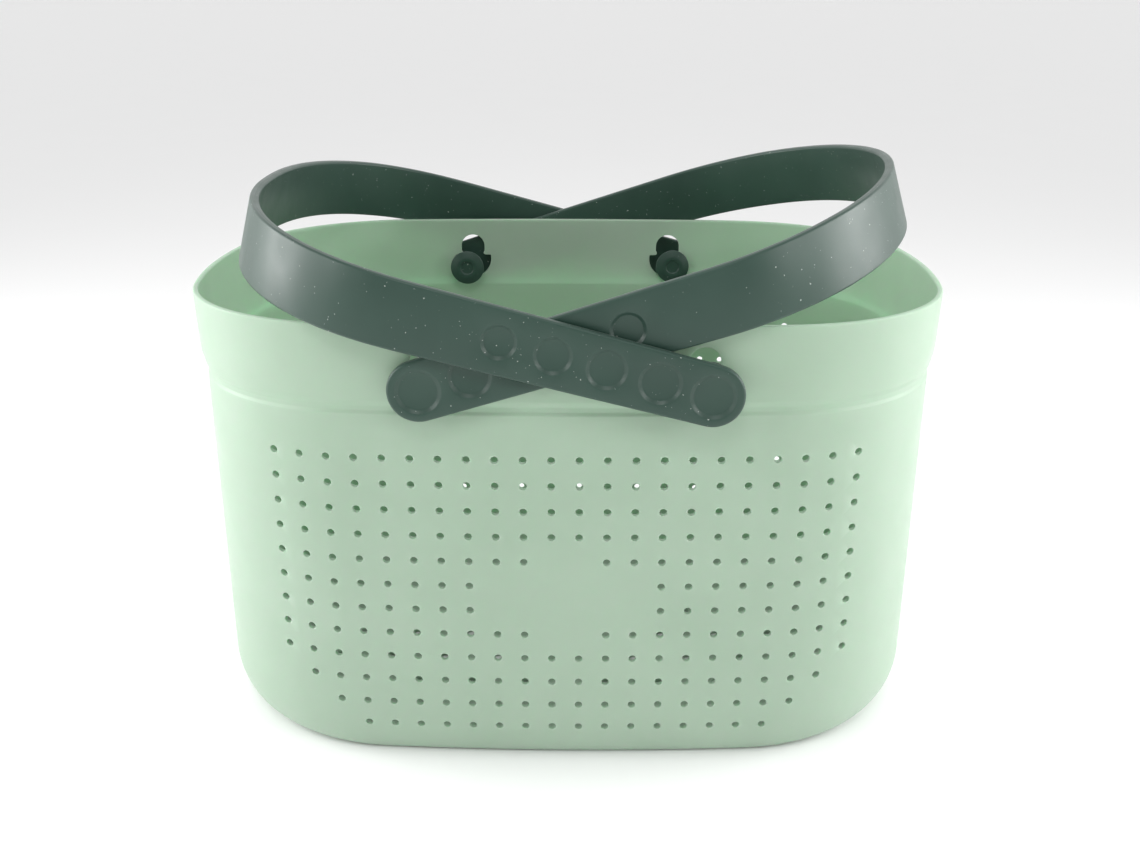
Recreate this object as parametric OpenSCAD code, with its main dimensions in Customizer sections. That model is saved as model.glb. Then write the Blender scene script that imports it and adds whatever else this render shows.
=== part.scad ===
// Tote basket for the shower: a perforated plastic basket with two strap handles.
// The handles swing on mushroom studs, and the studs slide up keyholes in the collar.
// Origin: centre of the flat base. +X is the long way, -Y the front, +Z up. Millimetres.

/* [Basket body] */
// Length of the body at the ledge line
body_len = 287.6; // [240:1:350]
// Depth of the body at the ledge line
body_depth = 199.2; // [166:1:240]
// Height of the rim above the table
basket_h = 173.4; // [144:1:210]
// Plan radius of the long sides
long_side_r = 1177; // [980:1:1420]
// Plan radius of the ends
end_r = 234; // [195:1:285]
// Plan radius of the four corners
corner_r = 70; // [58:1:84]
// Draft of the walls, in degrees
draft = 0.57; // [0.2:0.01:1]
// Thickness of the walls
wall = 2; // [1.6:0.1:2.4]
// Thickness of the base
base_wall = 2.2; // [1.8:0.1:3]
// Height of the rounded bottom edge along the ends
end_edge_h = 22; // [18:1:27]
// How far the rounded bottom edge turns in at the ends
end_edge_in = 15; // [12:0.5:18]
// Height of the rounded bottom edge along the front and rear
side_edge_h = 24; // [20:1:29]
// How far the rounded bottom edge turns in at the front and rear
side_edge_in = 8.5; // [7:0.5:10.5]

/* [Collar and rim] */
// Height of the collar, from the ledge line to the top of the rim
collar_h = 32.9; // [30:0.5:40]
// Depth of the shallow groove above the ledge line
groove_in = 0.5; // [0.2:0.1:0.7]
// How far the collar stands out beyond the body
collar_out = 2; // [1.2:0.1:2.5]
// How far the rim stands out beyond the body
rim_out = 2.8; // [2:0.1:3.5]
// Rounding of the rim's lip
lip_round = 0.6; // [0.3:0.1:0.9]

/* [Wall holes] */
// Diameter of a wall hole
hole_d = 2.8; // [2:0.1:3.6]
// Distance between columns of holes
col_pitch = 10; // [8:0.5:13]
// Distance between rows of holes
row_pitch = 9.9; // [8:0.1:13]
// Drop from the ledge line to the top row of holes
top_row_drop = 16.5; // [12:0.5:22]
// Lowest height that a row of holes may have
lowest_row_z = 14.5; // [12:0.5:20]
// Distance from the end of the body to the outermost column at most
side_margin = 38; // [32:1:50]
// Number of rows that lose holes at the bottom corners
corner_cut_rows = 3; // [1:1:4]
// Width of the plain oval in the middle of the wall
blank_w = 64; // [50:1:80]
// Height of the plain oval in the middle of the wall
blank_h = 31.6; // [25:0.1:40]
// Height of the middle of the plain oval above the lowest row of holes
blank_rise = 54.45; // [45:0.05:65]

/* [Drain holes] */
// Diameter of a drain hole in the base
drain_d = 6; // [4:0.5:8]
// Distance between drain holes along a row
drain_pitch = 24; // [20:0.5:30]
// Distance between rows of drain holes
drain_row_pitch = 21.5; // [18:0.5:26]
// Distance from the centre line to the first hole of the middle row
drain_start = 43.5; // [38:0.5:50]
// How far each next row starts nearer to the centre line
drain_shift = 13.5; // [11:0.5:16]
// Plain border between the drain holes and the edge of the base
drain_border = 22; // [18:1:30]

/* [Keyholes] */
// Distance of a keyhole from the centre line
keyhole_x = 47.6; // [40:0.1:57]
// Depth of the keyhole's wide part below the top of the rim, to its centre
keyhole_drop = 19.1; // [17.5:0.1:20]
// Diameter of the keyhole's wide part
keyhole_d = 17.5; // [17:0.1:18.4]
// Height of the flat shoulders above the centre of the wide part
shoulder_rise = 1.8; // [1:0.1:2.4]
// Width of the keyhole's slot
slot_w = 11.25; // [10.6:0.05:12]
// Height of the centre of the slot's arch above the centre of the wide part
slot_rise = 6.1; // [5.5:0.1:7]
// Radius of the snap nibs at the mouth of the slot
nib_r = 1; // [0.8:0.1:1.2]
// How far a snap nib stands into the slot
nib_out = 0.5; // [0.2:0.1:0.6]

/* [Studs] */
// Diameter of a stud's neck
neck_d = 8; // [7:0.1:8.4]
// Diameter of a stud's head
head_d = 16; // [15:0.1:16.6]
// Height of the cone under the head, which clears the collar's slope
head_back = 1.4; // [0.8:0.1:1.6]
// Width of the head's straight edge
head_edge = 0.6; // [0.4:0.1:1]
// Height of the bevel on the head
head_bevel = 1; // [0.8:0.1:2]
// Diameter of the flat top of the head
head_flat_d = 9.4; // [8:0.1:11]
// Diameter of the recess in the head
head_dish_d = 6.5; // [5:0.1:7.5]
// Depth of the recess in the head
head_dish = 0.5; // [0.2:0.1:1]
// Rest position of a stud outward from the keyhole's centre
stud_rest_x = 2.4; // [2:0.1:2.6]
// Rest position of a stud below the centre of the keyhole's wide part
stud_rest_drop = 3; // [2.5:0.1:3.2]
// Depth of the neck's root in the strap
root_depth = 1.3; // [1:0.1:1.5]
// Running clearance round the neck's root
root_clear = 0.05; // [0.03:0.01:0.1]
// Gap between the end of the neck's root and the bottom of its bore
root_end_gap = 0.2; // [0.1:0.1:0.3]
// Clearance between a stud's head and the inside of the basket
head_clear = 0.9; // [0.6:0.1:1.2]

/* [Handles] */
// Thickness of a strap
strap_t = 3.5; // [3:0.1:4.2]
// Width of a strap at its round ends
strap_end_w = 21.8; // [20:0.1:24]
// Width of a strap round its loop
strap_loop_w = 25; // [22:0.5:28]
// Distance from the studs over which a strap widens
widen_len = 150; // [125:1:180]
// Bevel of a strap's long edges
strap_bevel = 0.8; // [0.5:0.1:1.2]
// Length of a strap's straight legs
leg_len = 104; // [100:1:115]
// Reach of the outer handle's loop from its studs
outer_reach = 179; // [165:1:190]
// Reach of the inner handle's loop from its studs
inner_reach = 187; // [175:1:200]
// Squareness of the outer loop, where 2 is an ellipse
outer_square = 2.3; // [2:0.05:2.5]
// Squareness of the inner loop, where 2 is an ellipse
inner_square = 1.95; // [1.8:0.05:2.2]
// Angle of the outer handle above the horizontal
outer_angle = 14.6; // [14:0.1:70]
// Angle of the inner handle above the horizontal
inner_angle = 17.2; // [15:0.1:58]
// Clearance between the rim and the inner handle's legs
rim_gap = 0.35; // [0.3:0.05:1]
// Clearance between the legs of the two handles
leg_gap = 0.6; // [0.5:0.05:1]

/* [Dimples] */
// Distance between the dimples on a leg
dimple_pitch = 18.6; // [17.5:0.1:20]
// Number of dimples on a leg
dimple_count = 5; // [1:1:5]
// Radius of the first dimple, over the stud
dimple_r = 8.1; // [7:0.1:8.6]
// How much smaller each next dimple is
dimple_step = 0.48; // [0.3:0.01:0.6]
// Depth of a dimple
dimple_depth = 1; // [0.5:0.1:1.2]
// Share of a dimple's radius that is its flat floor
dimple_floor = 0.76; // [0.6:0.01:0.9]

/* [Hidden] */

basket_color = [0.74, 0.86, 0.76];
handle_color = [0.25, 0.34, 0.31];

half_len = body_len / 2;
half_depth = body_depth / 2;
ledge_z = basket_h - collar_h;
rim_half_depth = half_depth + rim_out;

// Points along each arc of a quarter of the plan, and levels up the bottom edge
end_steps = 3;
corner_steps = 7;
side_steps = 4;
edge_steps = 4;
// A cutter starts and ends this far outside what it cuts
past = 1;

// The plan: an end arc, a corner arc and a side arc, each tangent to the next.
// The corner arc's centre lies where both radius differences are kept.
end_c = [half_len - end_r, 0];
side_c = [0, half_depth - long_side_r];
centre_gap = norm(end_c - side_c);
end_d = end_r - corner_r;
side_d = long_side_r - corner_r;
along = (side_d * side_d - end_d * end_d + centre_gap * centre_gap) / (2 * centre_gap);
across = sqrt(side_d * side_d - along * along);
line_dir = (end_c - side_c) / centre_gap;
corner_c = side_c + along * line_dir + across * [line_dir[1], -line_dir[0]];
end_turn = atan2(corner_c[1] - end_c[1], corner_c[0] - end_c[0]);
side_turn = atan2(corner_c[1] - side_c[1], corner_c[0] - side_c[0]);

// Stud positions and the travel between them
keyhole_z = basket_h - keyhole_drop;
pivot_x = keyhole_x + stud_rest_x;
pivot_z = keyhole_z - stud_rest_drop;

// The legs stand clear of the rim and of each other
inner_leg_y = rim_half_depth + rim_gap + strap_t / 2;
outer_leg_y = inner_leg_y + strap_t + leg_gap;

// The neck is long enough for the outer handle's heads to clear the inside of the wall
function side_sag(x) = long_side_r - sqrt(long_side_r * long_side_r - x * x);
wall_inside_y = half_depth - side_sag(pivot_x) - wall;
neck_len = outer_leg_y - strap_t / 2 - wall_inside_y - head_back + head_clear;

function arc(c, r, a0, a1, n) = [
    for (i = [0:n]) c + r * [cos(a0 + (a1 - a0) * i / n), sin(a0 + (a1 - a0) * i / n)]
];

function skip_first(list) = [for (i = [1:len(list) - 1]) list[i]];

function skip_last(list) = [for (i = [0:len(list) - 2]) list[i]];

function backward(list) = [for (i = [len(list) - 1:-1:0]) list[i]];

// A quarter of the plan, from the end to the middle of the long side, at an outward offset
function quarter(off) = concat(
    arc(end_c, end_r + off, 0, end_turn, end_steps),
    skip_first(arc(corner_c, corner_r + off, end_turn, side_turn, corner_steps)),
    skip_first(arc(side_c, long_side_r + off, side_turn, 90, side_steps))
);

function times(list, k) = [for (p = list) [p[0] * k[0], p[1] * k[1]]];

// The whole plan, anticlockwise
function plan(off) = let (q = quarter(off), r = backward(q)) concat(
    skip_last(q),
    skip_last(times(r, [-1, 1])),
    skip_last(times(q, [-1, -1])),
    skip_last(times(r, [1, -1]))
);

// How far an elliptical edge of this height and width has turned in at height z
function edge_in(z, h, w) = z >= h ? 0 : w * (1 - sqrt(1 - pow((h - z) / h, 2)));

function draft_off(z) = -tan(draft) * max(ledge_z - z, 0);

// One ring of the skin: height, outward offset, and the inward turn at ends and sides
function ring(level) = let (
    k = [1 - level[2] / (half_len + level[1]), 1 - level[3] / (half_depth + level[1])]
) [for (p = times(plan(level[1]), k)) [p[0], p[1], level[0]]];

// Heights up the rounded bottom edge, close together where it curves most
function edge_levels(z0) = [
    for (i = [0:edge_steps]) z0 + (side_edge_h - z0) * (1 - cos(90 * i / edge_steps))
];

outer_levels = concat(
    [for (z = edge_levels(0)) [
        z, draft_off(z),
        edge_in(z, end_edge_h, end_edge_in), edge_in(z, side_edge_h, side_edge_in)
    ]],
    [for (p = [[0, 0], [1.2, -groove_in], [3, -groove_in], [5, groove_in],
               [9.5, 0.8 * collar_out], [13.5, collar_out]])
        [ledge_z + p[0], p[1], 0, 0]],
    [[basket_h - lip_round, rim_out, 0, 0], [basket_h, rim_out - lip_round, 0, 0]]
);

inner_levels = concat(
    [[basket_h, rim_out - wall + lip_round, 0, 0], [basket_h - lip_round, rim_out - wall, 0, 0]],
    [for (p = [[13.5, collar_out - wall], [9.5, 0.8 * collar_out - wall],
               [4.5, -0.65 * wall], [1.5, -0.95 * wall], [-2, -wall]])
        [ledge_z + p[0], p[1], 0, 0]],
    [for (z = backward(edge_levels(base_wall))) [
        z, draft_off(z) - wall,
        edge_in(z - base_wall, end_edge_h - base_wall, end_edge_in - wall / 2),
        edge_in(z - base_wall, side_edge_h - base_wall, side_edge_in - wall / 2)
    ]]
);

// Faces of a tube of rings that closes at both ends; every ring has n points
function tube_faces(rings, n) = concat(
    [[for (i = [0:n - 1]) i]],
    [for (r = [0:rings - 2], i = [0:n - 1]) let (j = (i + 1) % n)
        [r * n + i, (r + 1) * n + i, (r + 1) * n + j]],
    [for (r = [0:rings - 2], i = [0:n - 1]) let (j = (i + 1) % n)
        [r * n + i, (r + 1) * n + j, r * n + j]],
    [[for (i = [n - 1:-1:0]) (rings - 1) * n + i]]
);

module skin() {
    levels = concat(outer_levels, inner_levels);
    rings = [for (level = levels) ring(level)];
    polyhedron(
        points = [for (r = rings) each r],
        faces = tube_faces(len(rings), len(rings[0]))
    );
}

// Rows and columns of the wall holes, and which places are left plain
hole_z0 = ledge_z - top_row_drop;
rows = floor((hole_z0 - lowest_row_z) / row_pitch) + 1;
cols = 2 * floor((half_len - side_margin) / col_pitch + 0.5);
blank_z = hole_z0 - (rows - 1) * row_pitch + blank_rise;

function in_blank(x, z) =
    pow(x / (blank_w / 2), 2) + pow((z - blank_z) / (blank_h / 2), 2) < 1;

function in_corner(col, row) =
    min(col, cols - 1 - col) < row - (rows - 1 - corner_cut_rows);

hole_places = [
    for (row = [0:rows - 1], col = [0:cols - 1])
        let (x = (col - (cols - 1) / 2) * col_pitch, z = hole_z0 - row * row_pitch)
        if (!in_blank(x, z) && !in_corner(col, row)) [x, z]
];

// A cutter along Y through both long walls
module through_walls(x, z) {
    translate([x, rim_half_depth + past, z]) rotate([90, 0, 0]) children();
}

module wall_holes() {
    for (p = hole_places)
        through_walls(p[0], p[1])
            cylinder(h = 2 * (rim_half_depth + past), d = hole_d, $fn = 24);
}

module drain_holes() {
    limit_x = half_len - end_edge_in - drain_border;
    limit_y = half_depth - side_edge_in - drain_border;
    row_max = floor(limit_y / drain_row_pitch);
    for (row = [-row_max:row_max], side = [-1, 1])
        let (
            y = row * drain_row_pitch,
            start = drain_start - drain_shift * abs(row),
            x0 = start < drain_pitch / 4 ? start + drain_pitch : start
        )
            for (x = [x0:drain_pitch:limit_x])
                if (pow(x / limit_x, 4) + pow(y / limit_y, 4) <= 1.2)
                    translate([side * x, y, -past])
                        cylinder(h = base_wall + 2 * past, d = drain_d, $fn = 32);
}

module keyhole_cutter() {
    length = 2 * (rim_half_depth + past);
    difference() {
        union() {
            intersection() {
                cylinder(h = length, d = keyhole_d, $fn = 64);
                translate([-keyhole_d, -keyhole_d, 0])
                    cube([2 * keyhole_d, keyhole_d + shoulder_rise, length]);
            }
            translate([-slot_w / 2, 0, 0]) cube([slot_w, slot_rise, length]);
            translate([0, slot_rise, 0]) cylinder(h = length, d = slot_w, $fn = 64);
        }
        for (side = [-1, 1])
            translate([side * (slot_w / 2 + nib_r - nib_out), shoulder_rise + nib_r, -past])
                cylinder(h = length + 2 * past, r = nib_r, $fn = 24);
    }
}

module basket() {
    color(basket_color) difference() {
        skin();
        wall_holes();
        drain_holes();
        for (side = [-1, 1]) through_walls(side * keyhole_x, keyhole_z) keyhole_cutter();
    }
}

// Half the width of a strap at distance s from its studs, with a round end
function strap_half(s) = s < 0
    ? sqrt(max(pow(strap_end_w / 2, 2) - s * s, 0))
    : (strap_end_w + (strap_loop_w - strap_end_w) * min(s / widen_len, 1)) / 2;

end_angles = [6, 20, 36, 54, 72];
loop_steps = 20;

// Stations of half a strap, each [s, y, half width, direction across the thickness]
function leg_stations(leg_y) = concat(
    [for (a = end_angles) let (s = -strap_end_w / 2 * cos(a)) [s, leg_y, strap_half(s), [0, 1]]],
    [for (s = [0, leg_len / 2]) [s, leg_y, strap_half(s), [0, 1]]]
);

function loop_stations(leg_y, reach, square) = [
    for (i = [0:loop_steps]) let (
        a = 90 * i / loop_steps,
        s = leg_len + (reach - leg_len) * pow(sin(a), 2 / square),
        y = leg_y * pow(cos(a), 2 / square),
        g = [pow((s - leg_len) / (reach - leg_len), square - 1) / (reach - leg_len),
             pow(y / leg_y, square - 1) / leg_y]
    ) [s, y, strap_half(s), g / norm(g)]
];

// The eight corners of a strap's cross-section at a station
function strap_ring(st) = let (
    t = strap_t / 2, b = strap_bevel, w = st[2], c = min(b, w / 2)
) [
    for (p = [[t, c - w], [t, w - c], [t - b, w], [b - t, w],
              [-t, w - c], [-t, c - w], [b - t, -w], [t - b, -w]])
        [st[0] + p[0] * st[3][0], st[1] + p[0] * st[3][1], p[1]]
];

// A strap in its own plane: X along the legs from the studs, Y across, Z its width
module strap_band(leg_y, reach, square) {
    half = concat(leg_stations(leg_y), loop_stations(leg_y, reach, square));
    far_half = [for (st = backward(skip_last(half))) [st[0], -st[1], st[2], [st[3][0], -st[3][1]]]];
    rings = [for (st = concat(half, far_half)) strap_ring(st)];
    polyhedron(
        points = [for (r = rings) each r],
        faces = tube_faces(len(rings), 8)
    );
}

// What is cut from one leg, whose outer face is up at Z = 0: dimples and the neck's bore
module leg_cuts() {
    for (i = [0:dimple_count - 1]) {
        r = dimple_r - i * dimple_step;
        translate([i * dimple_pitch, 0, -dimple_depth])
            cylinder(h = dimple_depth, r1 = r * dimple_floor, r2 = r, $fn = 48);
        translate([i * dimple_pitch, 0, 0]) cylinder(h = past, r = r, $fn = 48);
    }
    depth = root_depth + root_end_gap;
    translate([0, 0, -strap_t - past])
        cylinder(h = depth + past, d = neck_d + 2 * root_clear, $fn = 64);
}

module strap(leg_y, reach, square) {
    difference() {
        strap_band(leg_y, reach, square);
        for (side = [-1, 1])
            translate([0, side * (leg_y + strap_t / 2), 0]) rotate([-90 * side, 0, 0]) leg_cuts();
    }
}

// A stud: its root at Z = 0 is flush with the strap's inner face, and its head is up
module stud() {
    translate([0, 0, -root_depth]) cylinder(h = root_depth + neck_len, d = neck_d, $fn = 64);
    difference() {
        translate([0, 0, neck_len]) union() {
            cylinder(h = head_back, r1 = head_d / 2 - 1.5 * head_back, r2 = head_d / 2, $fn = 64);
            translate([0, 0, head_back]) cylinder(h = head_edge, d = head_d, $fn = 64);
            translate([0, 0, head_back + head_edge])
                cylinder(h = head_bevel, d1 = head_d, d2 = head_flat_d, $fn = 64);
        }
        translate([0, 0, neck_len + head_back + head_edge + head_bevel - head_dish])
            cylinder(h = head_dish + past, d = head_dish_d, $fn = 64);
    }
}

module stud_pair(leg_y) {
    for (side = [-1, 1])
        translate([0, side * (leg_y - strap_t / 2), 0]) rotate([90 * side, 0, 0]) stud();
}

// The outer handle hangs on the right-hand studs and lies to the left
module at_outer() {
    translate([pivot_x, 0, pivot_z]) mirror([1, 0, 0]) children();
}

// The inner handle hangs on the left-hand studs and lies to the right
module at_inner() {
    translate([-pivot_x, 0, pivot_z]) children();
}

module outer_handle_strap() {
    color(handle_color) at_outer() rotate([0, -outer_angle, 0])
        strap(outer_leg_y, outer_reach, outer_square);
}

module outer_handle_studs() {
    color(handle_color) at_outer() stud_pair(outer_leg_y);
}

module inner_handle_strap() {
    color(handle_color) at_inner() rotate([0, -inner_angle, 0])
        strap(inner_leg_y, inner_reach, inner_square);
}

module inner_handle_studs() {
    color(handle_color) at_inner() stud_pair(inner_leg_y);
}

basket();
outer_handle_strap();
outer_handle_studs();
inner_handle_strap();
inner_handle_studs();
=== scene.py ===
# %% [markdown]
# # A tote basket for the shower, with two strap handles
#
# The real object is three mouldings: a pale mint basket, perforated on its long walls, and two
# dark grey-green strap handles that hang on mushroom studs. The design was made first, in
# millimetres, and its bodies already move. This file gives each piece the shape and the finish
# that the eye expects: round edges, crisp holes, dished dimples and satin plastic.
#
# We load the design first. Every piece below is then placed where the design has it, so
# nothing has to be fitted by eye.

# %% Load the design
import math

import bmesh
import bpy
import numpy as np
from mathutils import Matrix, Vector
from mathutils.geometry import delaunay_2d_cdt


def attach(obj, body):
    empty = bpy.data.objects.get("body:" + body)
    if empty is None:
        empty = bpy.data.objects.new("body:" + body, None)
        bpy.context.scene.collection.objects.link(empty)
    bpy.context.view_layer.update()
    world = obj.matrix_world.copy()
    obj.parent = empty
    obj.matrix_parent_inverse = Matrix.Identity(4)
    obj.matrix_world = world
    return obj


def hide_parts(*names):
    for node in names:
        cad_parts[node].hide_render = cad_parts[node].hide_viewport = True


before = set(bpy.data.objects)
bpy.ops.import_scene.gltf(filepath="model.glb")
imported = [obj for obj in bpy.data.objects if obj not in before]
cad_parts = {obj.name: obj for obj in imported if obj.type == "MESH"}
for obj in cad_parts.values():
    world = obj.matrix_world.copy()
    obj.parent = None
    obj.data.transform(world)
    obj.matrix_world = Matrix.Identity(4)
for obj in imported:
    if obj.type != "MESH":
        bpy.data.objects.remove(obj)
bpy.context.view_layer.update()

# %% [markdown]
# ## Camera
#
# The basket is seen from the front, from a little above its rim, through a short lens. A short
# lens makes the ends fall away, which is why the sides lean in towards the base.

# %% Camera
# The place is in metres, and the turns about X, Y and Z are in degrees.
CAMERA_PLACE = (0.0049, -0.5125, 0.2828)
CAMERA_TURN = (70.5, -0.11, 0.49)
LENS_MM = 39.8
SENSOR_MM = 36.0


def make_camera():
    """Adds the camera at its place, turned by three angles in degrees."""
    data = bpy.data.cameras.new("camera")
    data.lens = LENS_MM
    data.sensor_width = SENSOR_MM
    camera = bpy.data.objects.new("camera", data)
    camera.location = CAMERA_PLACE
    camera.rotation_euler = [math.radians(a) for a in CAMERA_TURN]
    bpy.context.collection.objects.link(camera)
    bpy.context.scene.camera = camera
    return camera


camera = make_camera()
print("camera looks along", (camera.matrix_basis.to_3x3() @ Vector((0, 0, -1)))[:])

# %% [markdown]
# ## From arrays to a piece
#
# A surface is worked out below as an array of points and arrays of faces, in millimetres.
# Typing vertices one at a time would be slow to run and hard to read, so a shape is always a
# formula over a whole array. The helpers join loops of points with strips of faces, fill a flat
# outline round its holes, drop the points that no face uses, and build the object with its
# faces turned outwards.

# %% Helpers for meshes
MM = 0.001
SHARP_ANGLE = math.radians(28)
SAME_POINT = 1e-7
ML_PER_M3 = 1e6


def strips(loops):
    """Quads between each loop of point numbers and the next: loops is an array whose last axis
    runs round a closed loop, and whose axis before it goes from loop to loop."""
    here, after = loops[..., :-1, :], loops[..., 1:, :]
    quads = np.stack([here, np.roll(here, -1, -1), np.roll(after, -1, -1), after], -1)
    return quads.reshape(-1, 4)


def inside(points, loop):
    """Which points are inside a closed loop: those from which a ray to the right crosses the
    loop's edges an odd number of times."""
    x, y = points[:, None, 0], points[:, None, 1]
    x0, y0 = loop[:, 0], loop[:, 1]
    x1, y1 = np.roll(x0, -1), np.roll(y0, -1)
    spans = (y0 > y) != (y1 > y)
    run = np.where(y1 == y0, 1.0, y1 - y0)
    return (spans & (x < x0 + (x1 - x0) * (y - y0) / run)).sum(1) % 2 == 1


def fill(outline, holes, loose=()):
    """Triangles that fill an outline round its holes. The numbers count through the outline,
    then each hole, then the loose points inside."""
    loops = [outline] + list(holes)
    starts = np.cumsum([0] + [len(loop) for loop in loops])
    edges = [(int(s + i), int(s + (i + 1) % len(loop)))
             for s, loop in zip(starts, loops) for i in range(len(loop))]
    flat = np.concatenate([*loops, np.reshape(loose, (-1, 2))])
    result = delaunay_2d_cdt([Vector(p) for p in flat.tolist()], edges, [], 0, SAME_POINT)
    corners, sources = result[2], result[3]
    triangles = np.array([source[0] for source in sources])[np.array(corners)]
    middles = flat[triangles].mean(1)
    keep = inside(middles, outline)
    for hole in holes:
        keep &= ~inside(middles, hole)
    return triangles[keep]


def compact(points, faces):
    """Drops the points that no face uses, and renumbers the faces."""
    used = np.zeros(len(points), bool)
    for block in faces:
        used[block.ravel()] = True
    number = np.cumsum(used) - 1
    return points[used], [number[block] for block in faces]


def make_piece(name, points, faces, material):
    """Builds an object from points in millimetres and blocks of faces, turned outwards."""
    points, faces = compact(points, faces)
    mesh = bpy.data.meshes.new(name)
    mesh.from_pydata((points * MM).tolist(), [], [f for block in faces for f in block.tolist()])
    work = bmesh.new()
    work.from_mesh(mesh)
    bmesh.ops.recalc_face_normals(work, faces=work.faces[:])
    open_edges = sum(not edge.is_manifold for edge in work.edges)
    if work.calc_volume(signed=True) < 0:
        bmesh.ops.reverse_faces(work, faces=work.faces[:])
    volume = work.calc_volume(signed=True)
    work.to_mesh(mesh)
    work.free()
    mesh.shade_smooth()
    mesh.set_sharp_from_angle(angle=SHARP_ANGLE)
    mesh.materials.append(material)
    piece = bpy.data.objects.new(name, mesh)
    bpy.context.collection.objects.link(piece)
    print(name, len(mesh.vertices), "points,", len(mesh.polygons), "faces,",
          round(volume * ML_PER_M3, 1), "ml,", open_edges, "open edges")
    return piece


unit_square = np.array([[0.0, 0.0], [1.0, 0.0], [1.0, 1.0], [0.0, 1.0]])
print("a plain square is filled by", len(fill(unit_square, [])), "triangles, and with a hole by",
      len(fill(unit_square, [0.25 + unit_square / 2])))

# %% [markdown]
# ## Mint plastic
#
# The basket is polypropylene with a fine spark-eroded skin. It is satin, slightly see-through
# in depth, and not quite even: the flow of the melt leaves faint cloudy patches. We could paint
# those on an image, but a noise pattern in the object's own coordinates has no seams and stays
# put when the camera moves. Light entering the wall and leaving nearby is the shader's own
# subsurface term, set on its sockets.
#
# The handles are moulded plastic too, so one helper gives both the same kind of skin: a fine
# grain over a slow flow, and a roughness that varies a little.

# %% Node helpers
def new_finish(name):
    """A new material: the material, its node tree, its principled shader, and the place of each
    point in the object's own coordinates."""
    material = bpy.data.materials.new(name)
    material.use_nodes = True
    tree = material.node_tree
    shader = tree.nodes["Principled BSDF"]
    place = tree.nodes.new("ShaderNodeTexCoord").outputs["Object"]
    return material, tree, shader, place


def noise(tree, place, scale, detail, roughness=0.5):
    """A noise pattern with so many patches a metre."""
    node = tree.nodes.new("ShaderNodeTexNoise")
    node.inputs["Scale"].default_value = scale
    node.inputs["Detail"].default_value = detail
    node.inputs["Roughness"].default_value = roughness
    tree.links.new(place, node.inputs["Vector"])
    return node.outputs["Fac"]


def spread(tree, value, low, high, to_low, to_high):
    """Maps the range low..high onto to_low..to_high, and holds it there."""
    node = tree.nodes.new("ShaderNodeMapRange")
    for socket, number in zip(("From Min", "From Max", "To Min", "To Max"),
                              (low, high, to_low, to_high)):
        node.inputs[socket].default_value = number
    tree.links.new(value, node.inputs["Value"])
    return node.outputs["Result"]


def blend_colors(tree, share, first, second):
    """Goes from the first colour to the second as share goes from 0 to 1."""
    node = tree.nodes.new("ShaderNodeMix")
    node.data_type = "RGBA"
    for socket, color in ((node.inputs[6], first), (node.inputs[7], second)):
        if isinstance(color, tuple):
            socket.default_value = (*color, 1)
        else:
            tree.links.new(color, socket)
    tree.links.new(share, node.inputs[0])
    return node.outputs[2]


def bump(tree, height, depth_mm, after=None):
    """Raises the surface by a height pattern, up to depth_mm."""
    node = tree.nodes.new("ShaderNodeBump")
    node.inputs["Distance"].default_value = depth_mm * MM
    tree.links.new(height, node.inputs["Height"])
    if after is not None:
        tree.links.new(after, node.inputs["Normal"])
    return node.outputs["Normal"]


print("helpers for noise, spread, blend and bump nodes are defined")

# %% The skin that both plastics share
CLOUD_BAND = (0.35, 0.65)
GLOSS_BAND = (0.3, 0.7)
CLOUD_DETAIL = 3
GLOSS_DETAIL = 4
BUMP_DETAIL = 2


def satin_skin(tree, shader, place, patches, roughness, depths_mm):
    """Uneven roughness between two limits, and a fine grain on a slow flow of the surface, each
    raised up to its depth. patches says how many patches a metre the clouds, the gloss, the
    flow and the grain have. Returns the clouds, as a share from 0 to 1."""
    cloud, gloss, flow, grain = patches
    gloss_noise = noise(tree, place, gloss, GLOSS_DETAIL)
    tree.links.new(spread(tree, gloss_noise, *GLOSS_BAND, *roughness), shader.inputs["Roughness"])
    waves = bump(tree, noise(tree, place, flow, BUMP_DETAIL), depths_mm[0])
    grains = bump(tree, noise(tree, place, grain, BUMP_DETAIL), depths_mm[1], waves)
    tree.links.new(grains, shader.inputs["Normal"])
    return spread(tree, noise(tree, place, cloud, CLOUD_DETAIL), *CLOUD_BAND, 0, 1)


print("clouds keep the band", CLOUD_BAND, "of their noise, and gloss the band", GLOSS_BAND)

# %% Mint plastic
MINT = (0.345, 0.452, 0.352)
MINT_CLOUD = (0.365, 0.472, 0.372)
MINT_PATCHES = (22, 60, 45, 4200)
MINT_ROUGHNESS = (0.40, 0.50)
MINT_DEPTHS_MM = (0.05, 0.012)
MINT_SETTINGS = {"IOR": 1.49, "Subsurface Weight": 0.5, "Subsurface Radius": (0.5, 0.9, 0.6),
                 "Subsurface Scale": 0.006}


def make_mint_plastic():
    """Satin polypropylene: cloudy colour, fine grain, and light that travels in the wall."""
    material, tree, shader, place = new_finish("mint plastic")
    clouds = satin_skin(tree, shader, place, MINT_PATCHES, MINT_ROUGHNESS, MINT_DEPTHS_MM)
    tree.links.new(blend_colors(tree, clouds, MINT, MINT_CLOUD), shader.inputs["Base Color"])
    for socket, value in MINT_SETTINGS.items():
        shader.inputs[socket].default_value = value
    return material


mint_plastic = make_mint_plastic()
print("made", mint_plastic.name)

# %% [markdown]
# ## Dark plastic of the handles
#
# The handles are a softer moulding, dark grey-green, with a dry satin skin that catches a
# broad pale sheen where the strap turns over its loop. Such a skin picks up lint, so a few
# specks of pale dust lie on it. They are the tips of a noise pattern, cut off high.

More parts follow.
